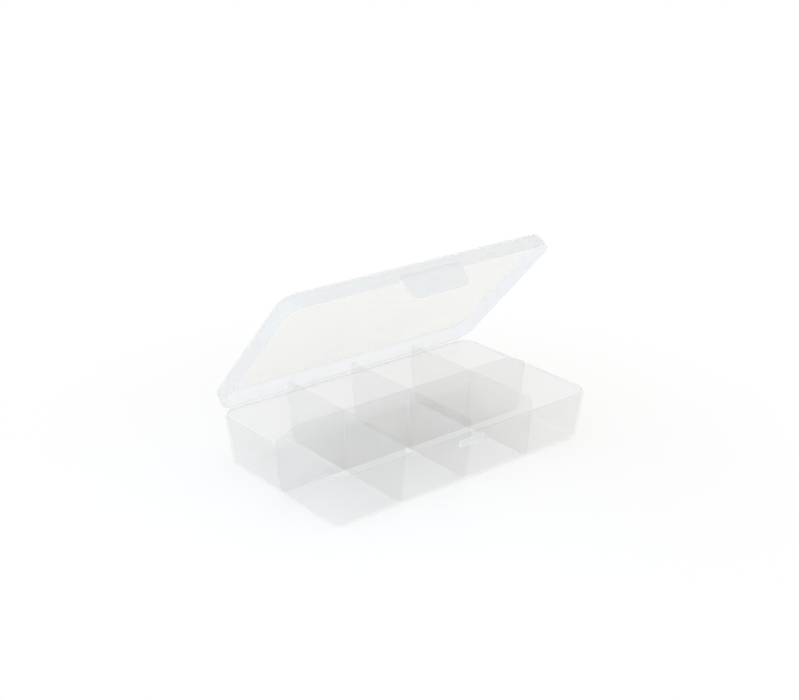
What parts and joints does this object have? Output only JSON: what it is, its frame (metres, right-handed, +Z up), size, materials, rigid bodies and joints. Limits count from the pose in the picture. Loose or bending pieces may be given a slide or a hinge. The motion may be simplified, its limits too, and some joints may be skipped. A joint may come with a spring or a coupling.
{
  "type": "divider box",
  "caption": "Shallow translucent box with a tapered tray, fixed cross dividers, a lid on a living hinge and a fold-out latch tab that hooks a catch bar.",
  "frame": {"origin": "middle of the tray's flat underside", "axes": "+X along the long side, to the right seen from the front; +Y from the latch at the front to the hinge at the rear; +Z up"},
  "size_m": [0.2582, 0.1603, 0.1612],
  "materials": {
    "tray_polypropylene": "milky translucent polypropylene, soft gloss",
    "lid_polypropylene": "milky translucent polypropylene, glossy inside",
    "divider_polypropylene": "milky translucent polypropylene, soft gloss",
    "thick_polypropylene": "the same polypropylene where it is thick and looks white",
    "fold_polypropylene": "the same polypropylene in the thin folds, whitened by bending"
  },
  "bodies": {
    "tray": {"tray_shell": "tray_polypropylene", "catch_bar": "thick_polypropylene", "long_divider": "divider_polypropylene", "cross_divider_left": "divider_polypropylene", "cross_divider_middle": "divider_polypropylene", "cross_divider_right": "divider_polypropylene", "tray_hinge_strip": "thick_polypropylene", "lid_hinge_web": "fold_polypropylene"},
    "lid": {"lid_shell": "lid_polypropylene", "lid_hinge_strip": "thick_polypropylene", "latch_hinge_web": "fold_polypropylene"},
    "latch": {"latch_flap": "lid_polypropylene"}
  },
  "joints": [
    {"name": "lid_hinge", "type": "hinge", "parent": "tray", "child": "lid", "pos_m": [0, 0.0774, 0.0411], "axis": [-1, 0, 0], "range_deg": [-47.6, 132.4]},
    {"name": "latch_fold", "type": "hinge", "parent": "lid", "child": "latch", "pos_m": [0, -0.02439, 0.15746], "axis": [-1, 0, 0], "range_deg": [0, 90], "stiffness_Nm_per_rad": 0.006}
  ]
}
